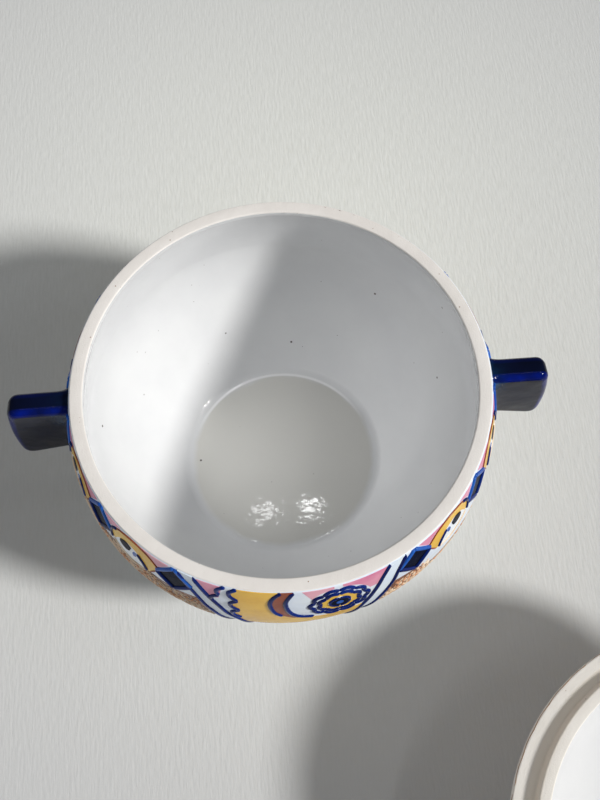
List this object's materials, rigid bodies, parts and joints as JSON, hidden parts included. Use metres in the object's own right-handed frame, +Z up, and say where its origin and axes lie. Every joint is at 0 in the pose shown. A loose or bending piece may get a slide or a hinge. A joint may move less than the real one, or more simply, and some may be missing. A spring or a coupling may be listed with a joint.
{
  "type": "lidded earthenware pot",
  "caption": "Globular glazed earthenware pot with slab lugs, painted raised decoration, a bare flat rim and a loose domed lid lying upside down beside it.",
  "frame": {"origin": "centre of the foot ring's resting plane, on the pot's axis", "axes": "+Z up along the pot's axis, +X through the right-hand lug, -Y towards the front of the pot, where the large painted panel is"},
  "size_m": [0.4022, 0.4098, 0.118],
  "materials": {
    "bare_clay": "unglazed fired cream clay, matt, fine grain",
    "white_glaze": "glossy white glaze with a few pinholes",
    "cobalt_glaze": "very glossy deep cobalt glaze, brighter where it thins on edges",
    "painted_coat": "glossy painted enamels in ochre, pink, white and cobalt with raised outlines"
  },
  "bodies": {
    "pot": {"pot_body": "bare_clay", "lug_handle_left": "cobalt_glaze", "lug_handle_right": "cobalt_glaze", "pot_inner_glaze": "white_glaze", "pot_painted_coat": "painted_coat"},
    "lid": {"lid_shell": "bare_clay", "lid_knob": "cobalt_glaze", "lid_inner_glaze": "white_glaze", "lid_painted_coat": "painted_coat"}
  },
  "joints": [
    {"name": "lid_on_off", "type": "hinge", "parent": "pot", "child": "lid", "pos_m": [0.08887, -0.10591, 0.09505], "axis": [-0.766, -0.6428, 0], "range_deg": [0, 180]}
  ]
}
